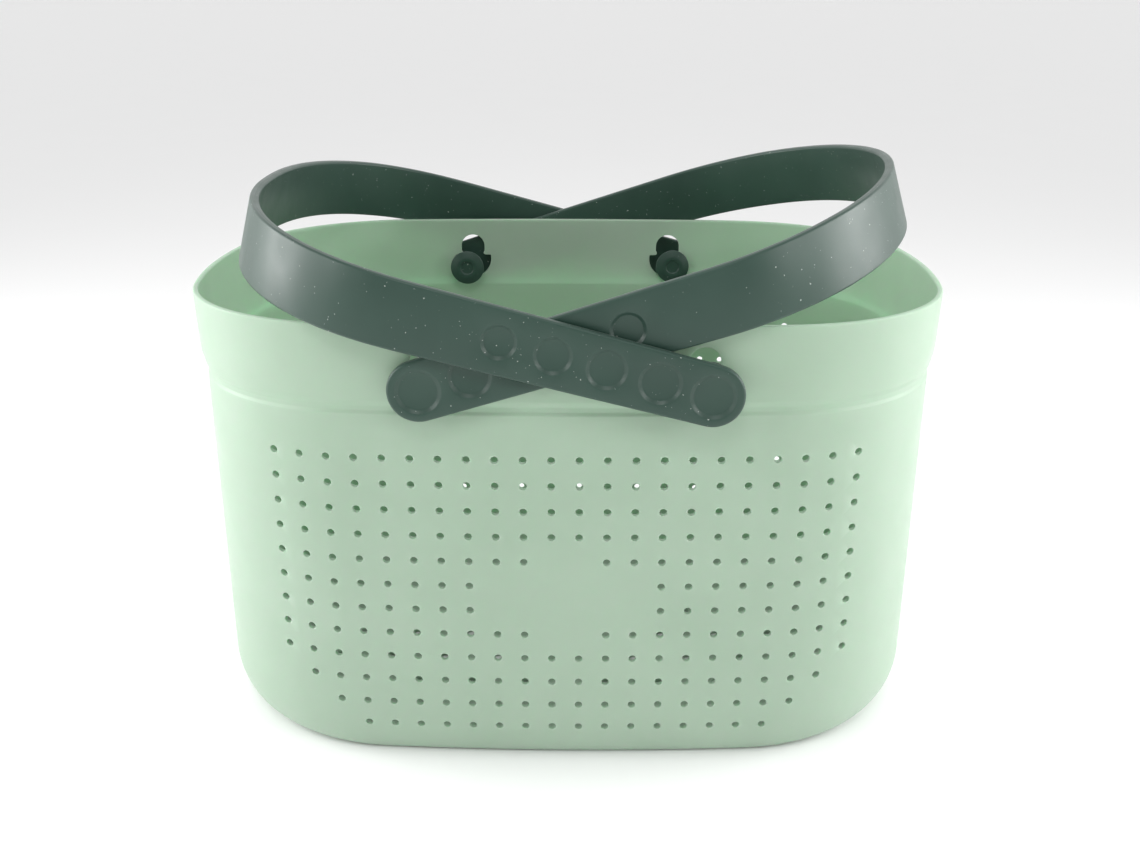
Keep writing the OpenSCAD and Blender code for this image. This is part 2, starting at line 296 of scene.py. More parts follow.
# %% Handle plastic
DARK = (0.018, 0.050, 0.036)
DARK_CLOUD = (0.022, 0.058, 0.042)
DUST = (0.42, 0.47, 0.43)
DUST_PATCHES = 1300
DUST_TIPS = (0.785, 0.80)
DARK_PATCHES = (35, 80, 60, 3600)
DARK_ROUGHNESS = (0.36, 0.45)
DARK_DEPTHS_MM = (0.04, 0.015)
DARK_SETTINGS = {"IOR": 1.5, "Sheen Weight": 0.08, "Sheen Roughness": 0.5}


def make_handle_plastic():
    """Dry satin skin: cloudy colour and fine grain, with specks of pale dust on it."""
    material, tree, shader, place = new_finish("handle plastic")
    clouds = satin_skin(tree, shader, place, DARK_PATCHES, DARK_ROUGHNESS, DARK_DEPTHS_MM)
    skin = blend_colors(tree, clouds, DARK, DARK_CLOUD)
    dust = noise(tree, place, DUST_PATCHES, detail=1, roughness=0.3)
    specks = spread(tree, dust, *DUST_TIPS, 0, 1)
    tree.links.new(blend_colors(tree, specks, skin, DUST), shader.inputs["Base Color"])
    for socket, value in DARK_SETTINGS.items():
        shader.inputs[socket].default_value = value
    return material


handle_plastic = make_handle_plastic()
print("made", handle_plastic.name)

# %% [markdown]
# ## The basket's plan and profile
#
# Seen from above, the basket is a soft rectangle made of arcs: a very large one along each
# side, a smaller one at each end and one round each corner, every arc tangent to the next. Seen
# from the side, the wall leans out a little, turns in at the base on a quarter of an ellipse,
# and has a ledge line below a collar that swells out to the rim. A wall point is then a
# function of two numbers: where it is along the wall, and how high it is.

# %% The plan
HALF_LEN = 143.8
HALF_DEPTH = 99.6
LONG_SIDE_R = 1177.0
END_R = 234.0
CORNER_R = 70.0
WALL = 2.0
BASE_WALL = 2.2

end_c = np.array([HALF_LEN - END_R, 0.0])
side_c = np.array([0.0, HALF_DEPTH - LONG_SIDE_R])
gap = np.linalg.norm(end_c - side_c)
toward = (end_c - side_c) / gap
reach_end, reach_side = END_R - CORNER_R, LONG_SIDE_R - CORNER_R
along = (reach_side ** 2 - reach_end ** 2 + gap ** 2) / (2 * gap)
across = math.sqrt(reach_side ** 2 - along ** 2)
corner_c = side_c + along * toward + across * np.array([toward[1], -toward[0]])
end_turn = math.atan2(*(corner_c - end_c)[::-1])
side_turn = math.atan2(*(corner_c - side_c)[::-1])
print("corner centre", corner_c.round(2), "arcs meet at", round(math.degrees(end_turn), 1),
      "and", round(math.degrees(side_turn), 1), "degrees")


def plan_y(x, off):
    """Distance of the side wall from the middle line at x, for a plan grown outward by off: on
    the side arc up to where the corner arc takes over, and on that arc from there."""
    x = np.abs(x)
    side = side_c[1] + np.sqrt((LONG_SIDE_R + off) ** 2 - x ** 2)
    from_c = np.clip(x - corner_c[0], 0, CORNER_R + off)
    corner = corner_c[1] + np.sqrt((CORNER_R + off) ** 2 - from_c ** 2)
    meets = corner_c[0] + (CORNER_R + off) * math.cos(side_turn)
    return np.where(x < meets, side, corner)


# %% The profile
RIM_Z = 173.4
LEDGE_Z = 140.5
DRAFT = math.radians(0.57)
GROOVE_IN = 0.5
COLLAR_OUT = 2.0
RIM_OUT = 2.8
LIP_R = 0.6
EASE_MM = 0.55
FINE_MM = 0.05

heights = np.arange(0, RIM_Z + FINE_MM, FINE_MM)


def eased(corner_heights, corner_offsets):
    """A profile through its corners, each corner rounded by a running average with a bell-shaped
    weight, EASE_MM wide."""
    raw = np.interp(heights, corner_heights, corner_offsets)
    weight = np.hanning(int(EASE_MM / FINE_MM) + 1)
    half = len(weight) // 2
    padded = np.pad(raw, half, "reflect", reflect_type="odd")
    return np.convolve(padded, weight / weight.sum(), "same")[half:-half]


foot_off = -math.tan(DRAFT) * LEDGE_Z
low_collar_out = 0.8 * COLLAR_OUT
outer_rises = LEDGE_Z + np.array([0, 1.2, 3, 5, 9.5, 13.5])
outer_offsets = eased(
    [0, *outer_rises, RIM_Z],
    [foot_off, 0, -GROOVE_IN, -GROOVE_IN, GROOVE_IN, low_collar_out, COLLAR_OUT, RIM_OUT])
inner_rises = LEDGE_Z + np.array([-2, 1.5, 4.5, 9.5, 13.5])
inner_offsets = eased(
    [0, *inner_rises, RIM_Z],
    [foot_off - WALL, -WALL, -0.95 * WALL, -0.65 * WALL, low_collar_out - WALL,
     COLLAR_OUT - WALL, RIM_OUT - WALL])

# The bottom edge's quarter ellipse: where it starts, then its height and width at the ends and
# along the sides, for the outer face and for the inner face.
FOOT_END_H, FOOT_END_W = 22.0, 15.0
FOOT_SIDE_H, FOOT_SIDE_W = 24.0, 8.5
FOOT_IN = 1.0
EDGES = {False: (0.0, FOOT_END_H, FOOT_END_W, FOOT_SIDE_H, FOOT_SIDE_W),
         True: (BASE_WALL, FOOT_END_H - BASE_WALL, FOOT_END_W - FOOT_IN,
                FOOT_SIDE_H - BASE_WALL, FOOT_SIDE_W - FOOT_IN)}


def turned_in(z, height, width):
    """How far a quarter ellipse of this height and width has turned in at height z."""
    return width * (1 - np.sqrt(1 - np.clip((height - z) / height, 0, 1) ** 2))


def levels(z, is_inner):
    """Outward offset of the plan at heights z, and the shares that the bottom edge leaves of
    its length and its depth."""
    off = np.interp(z, heights, inner_offsets if is_inner else outer_offsets)
    z0, end_h, end_w, side_h, side_w = EDGES[is_inner]
    keep_x = 1 - turned_in(z - z0, end_h, end_w) / (HALF_LEN + off)
    keep_y = 1 - turned_in(z - z0, side_h, side_w) / (HALF_DEPTH + off)
    return off, keep_x, keep_y


def wall_y(x, z, is_inner):
    """Distance of the wall's outer or inner face from the middle line, at x and height z."""
    off, keep_x, keep_y = levels(z, is_inner)
    return plan_y(x / keep_x, off) * keep_y


print("outer and inner face half way up:",
      [float(wall_y(0.0, RIM_Z / 2, is_inner).round(2)) for is_inner in (False, True)])

# %% [markdown]
# ## The grid of the walls
#
# The holes stand on a regular grid, so the mesh of the wall follows the same grid: each place
# for a hole is a square cell, four faces wide and four high. Cutting 472 holes with a boolean
# would leave ragged slivers. Here a cell with a hole just swaps its sixteen faces for four
# strips: from the cell's edge to the hole, over a small chamfer, through the wall, and out to
# the edge of the same cell on the inside.

# %% Columns and rows of the grid
COL_PITCH = 10.0
ROW_PITCH = 9.9
COLS = 22
ROWS = 12
TOP_ROW_DROP = 16.5
TOP_ROW_Z = LEDGE_Z - TOP_ROW_DROP
CELL = 4
COL_STEP = COL_PITCH / CELL
ZONE_X = COL_PITCH * COLS / 2
ZONE_Z = TOP_ROW_Z - (ROWS - 0.5) * ROW_PITCH
CORNER_STEPS = 22
END_STEPS = 12
EDGE_STEPS = 10
LIP_STEPS = 4
PATCH_LOW = LEDGE_Z + 1.5
PATCH_HIGH = RIM_Z - 3.4
# Above the holes, each band of rows has its top height and its number of rows. They are closest
# together at the ledge.
BANDS = ((LEDGE_Z - 1, 5), (PATCH_LOW, 10), (LEDGE_Z + 6, 9), (PATCH_HIGH, 12),
         (RIM_Z - LIP_R, 3))

shared_rows = ZONE_Z + np.arange(ROWS * CELL + 1) * ROW_PITCH / CELL
for band_top, band_rows in BANDS:
    band = np.linspace(shared_rows[-1], band_top, band_rows + 1)[1:]
    shared_rows = np.concatenate([shared_rows, band])
wall_x = np.linspace(-ZONE_X, ZONE_X, COLS * CELL + 1)
print(len(shared_rows), "rows shared by both faces of the wall")


def ring(z, off, keep_x, keep_y):
    """Closed rings round the basket, one for each height: along the front at even steps of x,
    round the right end by angle on its arcs, back along the rear, and round the left end."""
    z, off, keep_x, keep_y = [np.asarray(a, float)[:, None] for a in (z, off, keep_x, keep_y)]
    side = plan_y(wall_x / keep_x, off) * keep_y
    start = np.arccos((ZONE_X / keep_x - corner_c[0]) / (CORNER_R + off))
    turn = start + (end_turn - start) * np.linspace(0, 1, CORNER_STEPS + 1)[:-1]
    swing = end_turn * np.linspace(1, 0, END_STEPS + 1)
    quarter_x = np.hstack([corner_c[0] + (CORNER_R + off) * np.cos(turn),
                           end_c[0] + (END_R + off) * np.cos(swing)]) * keep_x
    quarter_y = np.hstack([corner_c[1] + (CORNER_R + off) * np.sin(turn),
                           (END_R + off) * np.sin(swing)]) * keep_y
    end_x = np.hstack([quarter_x, quarter_x[:, -2::-1]])
    end_y = np.hstack([-quarter_y, quarter_y[:, -2::-1]])
    front_x = np.broadcast_to(wall_x, side.shape)
    x = np.hstack([front_x[:, :-1], end_x[:, :-1], -front_x[:, :-1], -end_x[:, :-1]])
    y = np.hstack([-side[:, :-1], end_y[:, :-1], side[:, :-1], -end_y[:, :-1]])
    return np.stack([x, y, np.broadcast_to(z, x.shape)], -1)


def face_rings(is_inner):
    """All rings of one face of the wall, from the base up: the bottom edge by angle, the shared
    rows, and a quarter turn over the lip."""
    z0, _, _, side_h, _ = EDGES[is_inner]
    last = math.asin(1 - (ZONE_Z - z0) / side_h)
    turn = np.linspace(math.pi / 2, last, EDGE_STEPS + 1)[:-1]
    z = np.concatenate([z0 + side_h * (1 - np.sin(turn)), shared_rows])
    rings = [ring(z, *levels(z, is_inner))]
    over = np.linspace(0, math.pi / 2, LIP_STEPS + 1)[1:]
    outward = -1 if is_inner else 1
    rim = RIM_OUT - WALL if is_inner else RIM_OUT
    ones = np.ones(len(over))
    lip_off = rim - outward * LIP_R * (1 - np.cos(over))
    rings.append(ring(RIM_Z - LIP_R * (1 - np.sin(over)), lip_off, ones, ones))
    return np.concatenate(rings)


outer_face, inner_face = face_rings(False), face_rings(True)
ring_size = outer_face.shape[1]
face_count = outer_face.shape[0] * ring_size
outer_ids = np.arange(face_count).reshape(outer_face.shape[:2])
inner_ids = outer_ids + face_count
print("rings:", outer_face.shape[0], "a face, with", ring_size, "points a ring")

# %% Which cells have a hole
BLANK_W = 64.0
BLANK_H = 31.6
BLANK_RISE = 54.45
BLANK_Z = TOP_ROW_Z - (ROWS - 1) * ROW_PITCH + BLANK_RISE
CORNER_CUT_ROWS = 3

cell_col, cell_row = np.meshgrid(np.arange(COLS), np.arange(ROWS))
cell_u = (cell_col - (COLS - 1) / 2) * COL_PITCH
cell_z = ZONE_Z + (cell_row + 0.5) * ROW_PITCH
in_blank = (cell_u / (BLANK_W / 2)) ** 2 + ((cell_z - BLANK_Z) / (BLANK_H / 2)) ** 2 < 1
in_corner = np.minimum(cell_col, COLS - 1 - cell_col) < CORNER_CUT_ROWS - cell_row
has_hole = ~in_blank & ~in_corner
print(int(has_hole.sum()), "holes in each long wall")

# %% The holes
HOLE_R = 1.4
HOLE_CHAMFER = 0.2
CHAMFER_DEPTH = 0.14
REAR_COLUMN = COLS * CELL + 2 * (CORNER_STEPS + END_STEPS)


def cell_border():
    """Steps along a cell's border, anticlockwise from the middle of its right side: pairs of
    row and column."""
    side = np.arange(-CELL // 2, CELL // 2)
    half = np.full(CELL, CELL // 2)
    row = np.concatenate([side, half, -side, -half])
    col = np.concatenate([half, -side, -half, side])
    return np.roll(row, -CELL // 2) + CELL // 2, np.roll(col, -CELL // 2) + CELL // 2


def circle(radius, count):
    """Points round a circle, anticlockwise from the right, as columns of u and v."""
    a = np.arange(count) * 2 * math.pi / count
    return radius * np.cos(a), radius * np.sin(a)


def on_wall(u, z, is_inner, front, deeper=0.0):
    """Points on a face of the front or rear wall, where u runs to the right seen from outside,
    moved straight into the wall by deeper."""
    y = wall_y(u, z, is_inner) + (deeper if is_inner else -deeper)
    flip = 1 if front else -1
    return np.stack([flip * u, -flip * y, np.broadcast_to(z, y.shape)], -1)


def wall_holes(front, first_id):
    """The loops of every hole in one wall, as points and faces. Each hole has five loops of
    sixteen points: the cell's border, the chamfer's rim, its foot, the far end of the tube and
    the cell's border on the inside."""
    rows, cols = cell_row[has_hole][:, None], cell_col[has_hole][:, None]
    u, z = cell_u[has_hole][:, None], cell_z[has_hole][:, None]
    border_row, border_col = cell_border()
    grid_row = EDGE_STEPS + rows * CELL + border_row
    grid_col = (0 if front else REAR_COLUMN) + cols * CELL + border_col
    count = 4 * CELL
    wide_u, wide_v = circle(HOLE_R + HOLE_CHAMFER, count)
    tube_u, tube_v = circle(HOLE_R, count)
    rim = on_wall(u + wide_u, z + wide_v, False, front)
    foot = on_wall(u + tube_u, z + tube_v, False, front, CHAMFER_DEPTH)
    far = on_wall(u + tube_u, z + tube_v, True, front)
    new = np.stack([rim, foot, far], 1)
    new_ids = first_id + np.arange(new[..., 0].size).reshape(new.shape[:3])
    outer_border = outer_ids[grid_row, grid_col % ring_size][:, None]
    inner_border = inner_ids[grid_row, grid_col % ring_size][:, None]
    return new.reshape(-1, 3), strips(np.concatenate([outer_border, new_ids, inner_border], 1))


print("a hole's cell has", len(cell_border()[0]), "points on its border, and a hole as many")

# %% [markdown]
# ## The keyholes
#
# Each handle hangs in two keyholes: a round mouth that lets the stud's head through, and a
# narrower slot above it, with a small nib on each side that the stud's neck snaps past. A
# keyhole doesn't follow the grid, so a window of the grid round it is taken out and filled
# again with triangles between the window's border and the outline. The outline's edge is
# rounded, because a moulded edge never is razor sharp.

# %% The keyhole's outline
KEYHOLE_X = 47.6
KEYHOLE_Z = RIM_Z - 19.1
KEYHOLE_R = 8.75
SHOULDER = 1.8
SLOT_HALF = 5.625
SLOT_RISE = 6.1
NIB_R = 1.0
NIB_OUT = 0.5
MOUTH_STEPS = 24
NIB_STEPS = 9
ARCH_STEPS = 12


def arc(centre, radius, start, end, steps):
    """Points along an arc between two angles in degrees."""
    a = np.radians(np.linspace(start, end, steps + 1))
    return np.stack([centre[0] + radius * np.cos(a), centre[1] + radius * np.sin(a)], -1)


def keyhole_outline():
    """The right half from the bottom up: round mouth, flat shoulder, nib, slot and arch, then
    the same mirrored back down."""
    mouth_ends = math.degrees(math.asin(SHOULDER / KEYHOLE_R))
    mouth = arc((0, 0), KEYHOLE_R, -90, mouth_ends, MOUTH_STEPS)
    nib_x = SLOT_HALF + NIB_R - NIB_OUT
    leaves = math.degrees(math.acos((SLOT_HALF - nib_x) / NIB_R))
    shoulder = np.array([[(mouth[-1, 0] + nib_x) / 2, SHOULDER]])
    nib = arc((nib_x, SHOULDER + NIB_R), NIB_R, -90, leaves - 360, NIB_STEPS)
    side = np.array([[SLOT_HALF, (nib[-1, 1] + SLOT_RISE) / 2]])
    arch = arc((0, SLOT_RISE), SLOT_HALF, 0, 90, ARCH_STEPS)
    half = np.concatenate([mouth, shoulder, nib, side, arch])
    return np.concatenate([half, half[-2:0:-1] * (-1, 1)])


def grown(loop, by):
    """A closed loop moved outward by a distance, square to the line through its neighbours."""
    line = np.roll(loop, -1, 0) - np.roll(loop, 1, 0)
    line /= np.linalg.norm(line, axis=1)[:, None]
    return loop + by * np.stack([line[:, 1], -line[:, 0]], -1)


outline = keyhole_outline()
print("keyhole outline:", len(outline), "points,", np.ptp(outline, 0).round(2), "mm")

# %% The keyholes in the collar
EDGE_ROUND = 0.35
MID_ROUND = 0.3 * EDGE_ROUND
INSIDE_ROUND = 0.2
KEEP_OFF = 0.8
PATCH_COLS = 10
low_row = EDGE_STEPS + int(np.argmin(np.abs(shared_rows - PATCH_LOW)))
high_row = EDGE_STEPS + int(np.argmin(np.abs(shared_rows - PATCH_HIGH)))


def window(first_col):
    """Rows and columns of the grid points of a window: those of its border, anticlockwise, and
    those inside it."""
    rows, cols = np.arange(low_row, high_row + 1), first_col + np.arange(PATCH_COLS + 1)
    row = np.concatenate([np.full(PATCH_COLS, low_row), rows[:-1],
                          np.full(PATCH_COLS, high_row), rows[:0:-1]])
    col = np.concatenate([cols[:-1], np.full(len(rows) - 1, cols[-1]),
                          cols[:0:-1], np.full(len(rows) - 1, cols[0])])
    inner_row, inner_col = np.meshgrid(rows[1:-1], cols[1:-1], indexing="ij")
    return row, col, inner_row.ravel(), inner_col.ravel()


def keyhole(front, centre_u, first_id):
    """One keyhole: the filled windows of both faces of the wall, and the strips between them
    over the rounded edges."""
    loop = outline + (centre_u, KEYHOLE_Z)
    first_col = round((centre_u + ZONE_X) / COL_STEP - PATCH_COLS / 2)
    row, col, in_row, in_col = window(first_col)
    grid_z = shared_rows[np.concatenate([row, in_row]) - EDGE_STEPS]
    flat = np.stack([wall_x[np.concatenate([col, in_col])], grid_z], -1)
    border, free = flat[:len(row)], flat[len(row):]
    clear = ~inside(free, grown(loop, EDGE_ROUND + KEEP_OFF))
    depth_steps = [(EDGE_ROUND, 0.0), (MID_ROUND, MID_ROUND), (0.0, EDGE_ROUND)]
    rounds = [on_wall(*grown(loop, g).T, False, front, d) for g, d in depth_steps]
    rounds += [on_wall(*loop.T, True, front, INSIDE_ROUND),
               on_wall(*grown(loop, INSIDE_ROUND).T, True, front)]
    new = np.stack(rounds)
    new_ids = first_id + np.arange(new[..., 0].size).reshape(new.shape[:2])
    faces = [strips(new_ids)]
    column0 = 0 if front else REAR_COLUMN
    for ids, edge, ring_ids in ((outer_ids, grown(loop, EDGE_ROUND), new_ids[0]),
                                (inner_ids, grown(loop, INSIDE_ROUND), new_ids[-1])):
        triangles = fill(border, [edge], free[clear])
        number = np.concatenate([ids[row, column0 + col], ring_ids,
                                 ids[in_row[clear], column0 + in_col[clear]]])
        faces.append(number[triangles])
    return new.reshape(-1, 3), faces, first_col


print("a window is", PATCH_COLS, "columns wide and", high_row - low_row, "rows high")

# %% [markdown]
# ## The base
#
# The base is flat, inside and out, with rows of drain holes that fan out from a plain middle.
# Both flats are filled round the holes as the windows were, and a chamfer on each hole keeps
# its edge from looking like cut paper.

# %% The drain holes
DRAIN_R = 3.0
DRAIN_PITCH = 24.0
DRAIN_ROW_PITCH = 21.5
DRAIN_START = 43.5
DRAIN_SHIFT = 13.5
DRAIN_MARGIN = 22.0
DRAIN_LIMIT = np.array([HALF_LEN - FOOT_END_W, HALF_DEPTH - FOOT_SIDE_W]) - DRAIN_MARGIN
DRAIN_SQUARENESS = 4
DRAIN_REACH = 1.2
DRAIN_CHAMFER = 0.3
DRAIN_POINTS = 24


def drain_centres():
    """Centres of the drain holes: rows either side of the middle, each next row starting nearer
    to it, kept inside a squared oval: the sum of the fourth powers of x and y, as shares of
    their limits, is at most DRAIN_REACH."""
    centres = []
    row_max = int(DRAIN_LIMIT[1] // DRAIN_ROW_PITCH)
    for row in range(-row_max, row_max + 1):
        start = DRAIN_START - DRAIN_SHIFT * abs(row)
        if start < DRAIN_PITCH / 4:
            start += DRAIN_PITCH
        for x in np.arange(start, DRAIN_LIMIT[0], DRAIN_PITCH):
            place = np.array([x, row * DRAIN_ROW_PITCH])
            if ((place / DRAIN_LIMIT) ** DRAIN_SQUARENESS).sum() <= DRAIN_REACH:
                centres += [place, place * (-1, 1)]
    return np.array(centres)


def base_and_drains(first_id):
    """The two flats of the base and the tubes of the drain holes between them."""
    centres = drain_centres()
    tube, wide = DRAIN_R, DRAIN_R + DRAIN_CHAMFER
    levels_down = [(wide, BASE_WALL), (tube, BASE_WALL - DRAIN_CHAMFER), (tube, DRAIN_CHAMFER),
                   (wide, 0)]
    new = np.empty((len(centres), len(levels_down), DRAIN_POINTS, 3))
    for loop, (radius, z) in enumerate(levels_down):
        new[:, loop, :, :2] = centres[:, None] + np.stack(circle(radius, DRAIN_POINTS), -1)
        new[:, loop, :, 2] = z
    new_ids = first_id + np.arange(new[..., 0].size).reshape(new.shape[:3])
    faces = [strips(new_ids)]
    for face, ids, loop in ((inner_face, inner_ids, 0), (outer_face, outer_ids, -1)):
        triangles = fill(face[0, :, :2], list(new[:, loop, :, :2]))
        faces.append(np.concatenate([ids[0], new_ids[:, loop].ravel()])[triangles])
    return new.reshape(-1, 3), faces


print(len(drain_centres()), "drain holes in the base")

# %% [markdown]
# ## Putting the basket together
#
# The basket is one moulding, so it is one closed mesh: two faces of the wall, joined over the
# lip, with every hole as a tunnel between them. We keep the grid's faces except where a hole or
# a window has replaced them.

# %% The basket
def make_basket():
    """Joins walls, holes, keyholes and base into one closed mesh."""
    keep = np.ones((outer_face.shape[0] - 1, ring_size), bool)
    taken = np.kron(has_hole, np.ones((CELL, CELL), bool))
    rows = slice(EDGE_STEPS, EDGE_STEPS + ROWS * CELL)
    points = [outer_face.reshape(-1, 3), inner_face.reshape(-1, 3)]
    faces = [strips(np.stack([outer_ids[-1], inner_ids[-1]]))]
    total = 2 * face_count
    for front, column in ((True, 0), (False, REAR_COLUMN)):
        keep[rows, column:column + COLS * CELL] &= ~taken
        new, quads = wall_holes(front, total)
        points.append(new)
        faces.append(quads)
        total += len(new)
        for centre_u in (-KEYHOLE_X, KEYHOLE_X):
            new, blocks, first_col = keyhole(front, centre_u, total)
            keep[low_row:high_row, column + first_col:column + first_col + PATCH_COLS] = False
            points.append(new)
            faces += blocks
            total += len(new)
    new, blocks = base_and_drains(total)
    points.append(new)
    faces += blocks
    faces += [strips(ids)[keep.ravel()] for ids in (outer_ids, inner_ids)]
    return make_piece("perforated_basket", np.concatenate(points), faces, mint_plastic)


basket = make_basket()
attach(basket, "basket")
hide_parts("basket")

# %% [markdown]
# ## The strap handles
#
# Each handle is a flat strap bent to a U. Its edge is a small rounded profile carried round the
# strap's whole outline: along one long edge, round the end over the stud, back along the other
# edge and round the other end. The flat faces are then filled between the two edges. A fine
# raised line runs along the middle of the edge, where the two halves of the mould met.

# %% The strap's centre line
STRAP_T = 3.5
END_HALF_W = 10.9
LOOP_HALF_W = 12.5
WIDEN_LEN = 150.0
LEG_LEN = 104.0
EDGE_R = 1.0
FACE_END = 88.0
LEG_STEPS = 22
LOOP_STEPS = 72


def half_width(s):
    """Half the strap's width at distance s from the studs: it widens evenly, then holds."""
    return END_HALF_W + (LOOP_HALF_W - END_HALF_W) * np.minimum(s / WIDEN_LEN, 1)


def centre_line(leg_y, reach, square):
    """Places s and y along the middle of the strap, from one stud to the other, and the way its
    outer face looks. The legs are straight and the loop is half of a squared ellipse."""
    leg_s = np.concatenate([np.linspace(0, FACE_END, LEG_STEPS + 1), [(FACE_END + LEG_LEN) / 2]])
    a = np.linspace(0, math.pi / 2, LOOP_STEPS + 1)
    over = reach - LEG_LEN
    part_s, part_y = np.sin(a) ** (2 / square), np.clip(np.cos(a), 0, 1) ** (2 / square)
    look = np.stack([part_s ** (square - 1) / over, part_y ** (square - 1) / leg_y], -1)
    look /= np.linalg.norm(look, axis=1)[:, None]
    s = np.concatenate([leg_s, LEG_LEN + over * part_s])
    y = np.concatenate([np.full(len(leg_s), leg_y), leg_y * part_y])
    looks = np.concatenate([np.tile([0.0, 1.0], (len(leg_s), 1)), look])
    return (np.concatenate([s, s[-2::-1]]), np.concatenate([y, -y[-2::-1]]),
            np.concatenate([looks, looks[-2::-1] * (1, -1)]))


print("a strap is", 2 * half_width(0.0), "mm wide at its studs and", 2 * half_width(WIDEN_LEN),
      "mm in its loop")

# %% The strap's edge
EDGE_ROUND_STEPS = 5
PARTING_RISE = 0.06
PARTING_HALF = 0.18
END_TURN_STEPS = 28


def edge_profile():
    """The edge from the outer face to the inner face, as distances out of the edge and across
    the thickness: a quarter round, a flat with the parting line, and a quarter round."""
    a = np.radians(np.linspace(90, 0, EDGE_ROUND_STEPS + 1))
    flat = STRAP_T / 2 - EDGE_R
    out = np.concatenate([EDGE_R * np.cos(a), [EDGE_R, EDGE_R + PARTING_RISE, EDGE_R],
                          EDGE_R * np.cos(a[::-1])])
    rise = np.concatenate([flat + EDGE_R * np.sin(a), [PARTING_HALF, 0, -PARTING_HALF],
                           -flat - EDGE_R * np.sin(a[::-1])])
    return out, rise


def edge_loop(leg_y, reach, square):
    """The stations round the strap's outline: a point on the border of the flat face, the way
    out of the edge, and the way across the thickness, each as s, y and width. Then how many
    stations there are along an edge, and round an end."""
    s, y, look = centre_line(leg_y, reach, square)
    up = np.stack([s, y, half_width(s) - EDGE_R], -1)
    across_way = np.column_stack([look, np.zeros(len(s))])
    way_up = np.tile([0.0, 0.0, 1.0], (len(s), 1))
    a = np.radians(np.linspace(90, 270, END_TURN_STEPS + 1)[1:-1])
    round_way = np.stack([np.cos(a), np.zeros(len(a)), np.sin(a)], -1)
    round_at = (END_HALF_W - EDGE_R) * round_way
    flip = np.array([1, 1, -1])
    side = np.array([0, 1, 0])
    points = np.concatenate([up, round_at - leg_y * side, (up * flip)[::-1],
                             round_at[::-1] + leg_y * side])
    outward = np.concatenate([way_up, round_way, -way_up, round_way[::-1]])
    across_all = np.concatenate([across_way, np.tile(-side, (len(a), 1)), across_way[::-1],
                                 np.tile(side, (len(a), 1))])
    return points, outward, across_all, len(s), len(a)


print("the edge's profile has", len(edge_profile()[0]), "points")

# %% [markdown]
# ## Dimples and bores
#
# Five shallow dimples run down the outer face of each leg, each a little smaller than the one
# before it. The inner face has a blind bore that the stud's root turns in. Both are recesses: a
# stack of circles at given radii and depths, closed by a flat floor.

# %% Recesses
DIMPLE_PITCH = 18.6
DIMPLE_COUNT = 5
DIMPLE_R = 8.1
DIMPLE_STEP = 0.48
DIMPLE_DEPTH = 1.0
DIMPLE_FLOOR = 0.79
DIMPLE_POINTS = 56
DIMPLE_STEPS = 9
LIP_EASE = 0.2
EASE_SHARE = 0.18
BORE_R = 4.05
BORE_DEPTH = 1.5
BORE_CHAMFER = 0.1


def dimple_rings(radius):
    """Radii and depths of a dimple: eased over its lip, down a cone, and eased into its floor.
    The depth grows with the square of the way in for the first EASE_SHARE of it, evenly after
    that, and the last EASE_SHARE mirrors the first."""
    lip, floor_r = radius + LIP_EASE, radius * DIMPLE_FLOOR
    t = np.linspace(0, 1, DIMPLE_STEPS + 1)
    steep = 1 / (1 - EASE_SHARE)
    bend = steep / (2 * EASE_SHARE)
    down = np.where(t < EASE_SHARE, bend * t ** 2, steep * (t - EASE_SHARE / 2))
    down = np.where(t > 1 - EASE_SHARE, 1 - bend * (1 - t) ** 2, down)
    return np.stack([lip - (lip - floor_r) * t, DIMPLE_DEPTH * down], -1)


def recess(centre_s, rings):
    """Circles of a recess, as s, depth and width, for each radius and depth of its rings."""
    u, v = circle(1.0, DIMPLE_POINTS)
    radius, depth = rings[:, :1], rings[:, 1:]
    return np.stack([centre_s + radius * u, np.broadcast_to(depth, (len(rings), DIMPLE_POINTS)),
                     radius * v], -1)


dimples = [recess(i * DIMPLE_PITCH, dimple_rings(DIMPLE_R - i * DIMPLE_STEP))
           for i in range(DIMPLE_COUNT)]
bores = [recess(0.0, np.array([[BORE_R + BORE_CHAMFER, 0.0], [BORE_R, BORE_CHAMFER],
                               [BORE_R, BORE_DEPTH]]))]
print(len(dimples), "dimples and", len(bores), "bore on each leg")

# %% The straps
PIVOT_X = 50.0
PIVOT_Z = 151.3
HAIR = 0.002
RIM_GAP = 0.35
STRAP_GAP = 0.6
INNER_LEG_Y = HALF_DEPTH + RIM_OUT + RIM_GAP + STRAP_T / 2
OUTER_LEG_Y = INNER_LEG_Y + STRAP_T + STRAP_GAP
# Each strap's place across, how far its loop reaches from the studs, how square the loop is, the
# side that it leans to, and its tilt in degrees.
OUTER_SHAPE = (OUTER_LEG_Y, 179.0, 2.3, -1, 14.6)
INNER_SHAPE = (INNER_LEG_Y, 187.0, 1.95, 1, 17.2)


def to_place(local, side, angle):
    """Turns points given along the strap, across it and over its width into the basket's
    directions: side is 1 for legs that run to the right, -1 to the left, tilted up by angle."""
    a = math.radians(angle)
    x = local[..., 0] * math.cos(a) - local[..., 2] * math.sin(a)
    z = local[..., 0] * math.sin(a) + local[..., 2] * math.cos(a)
    return np.stack([side * (x - PIVOT_X), local[..., 1], z + PIVOT_Z], -1)


def bulged(loop):
    """The outline of a leg's face with its straight sides bulged by a hair, half a sine wave
    long. Points in a straight line would leave slivers of no width between them, so the
    triangles are chosen on this copy, and used on the straight one."""
    wave = np.sin(math.pi * np.clip(loop[:, 0], 0, FACE_END) / FACE_END)
    return np.stack([loop[:, 0], loop[:, 1] * (1 + HAIR * wave)], -1)


